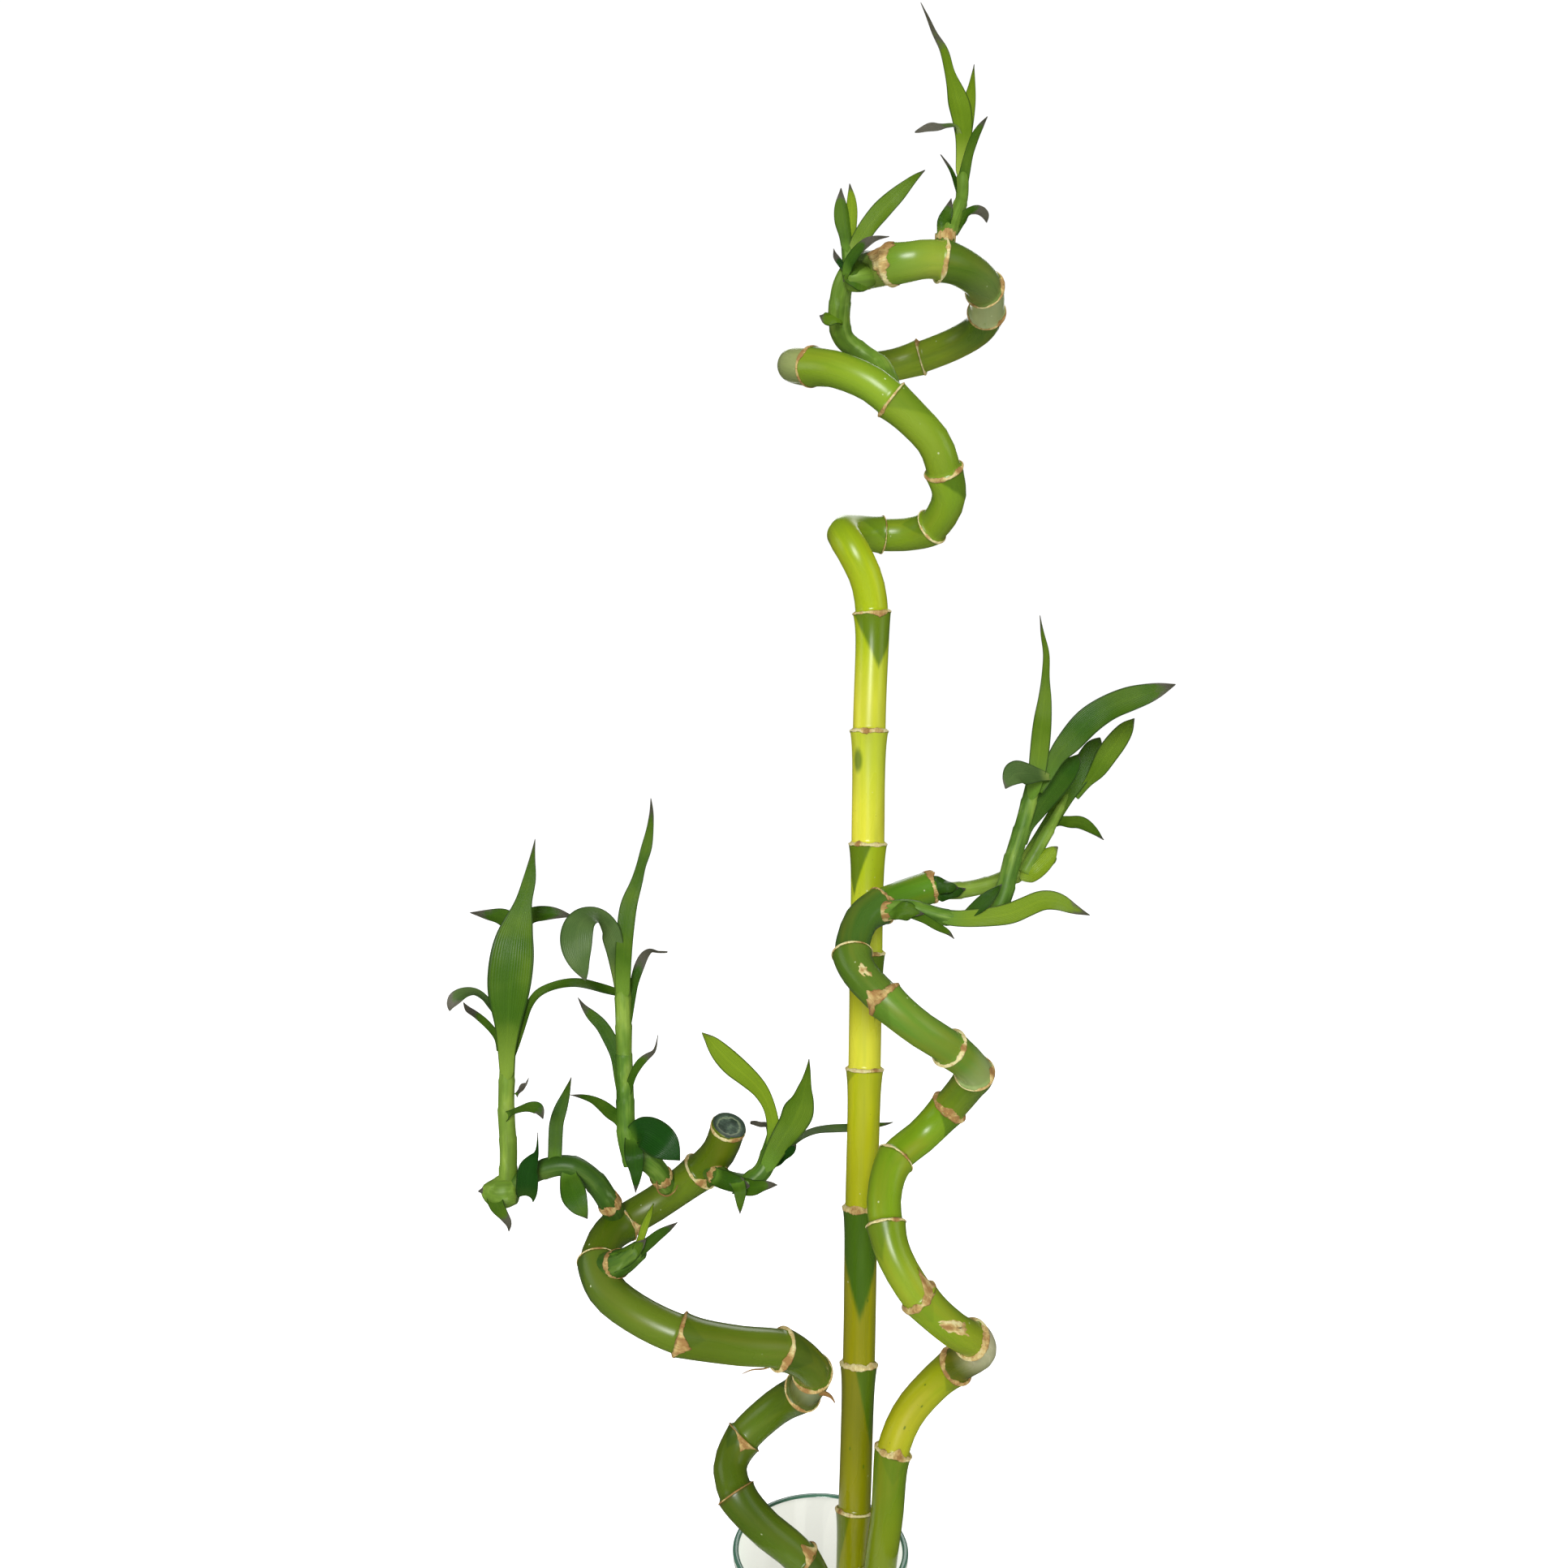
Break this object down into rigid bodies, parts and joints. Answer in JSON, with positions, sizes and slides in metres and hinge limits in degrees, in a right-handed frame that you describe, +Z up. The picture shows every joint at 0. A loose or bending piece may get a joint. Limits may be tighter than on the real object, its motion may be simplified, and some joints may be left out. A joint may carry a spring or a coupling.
{
  "type": "lucky bamboo in a glass vase",
  "caption": "Lucky bamboo canes, some trained into spirals, with leafy shoots, standing in a clear glass cylinder vase with water.",
  "frame": {"origin": "centre of the vase's base, on the surface it stands on", "axes": "+Z up along the canes, -Y towards the viewer of the picture, +X to the viewer's right"},
  "size_m": [0.3136, 0.1264, 0.9023],
  "materials": {
    "glass": "clear glass with a faint green edge",
    "water": "clear water",
    "old_cane": "smooth waxy yellow-green skin with tan rings",
    "bright_cane": "smooth waxy green skin with tan rings",
    "green_cane": "smooth waxy deep green skin with tan rings",
    "leaf": "satin living leaf with parallel veins"
  },
  "bodies": {
    "root": {"vase": "glass", "water": "water", "cane_tall": "old_cane", "cane_right": "bright_cane", "cane_left": "green_cane", "shoot_tall_inner": "leaf", "shoot_tall_outer": "leaf", "shoot_right_leafy": "leaf", "shoot_right_end": "leaf", "shoot_left_outer": "leaf", "shoot_left_middle": "leaf", "shoot_left_inner": "leaf", "shoot_left_short": "leaf"}
  },
  "joints": []
}
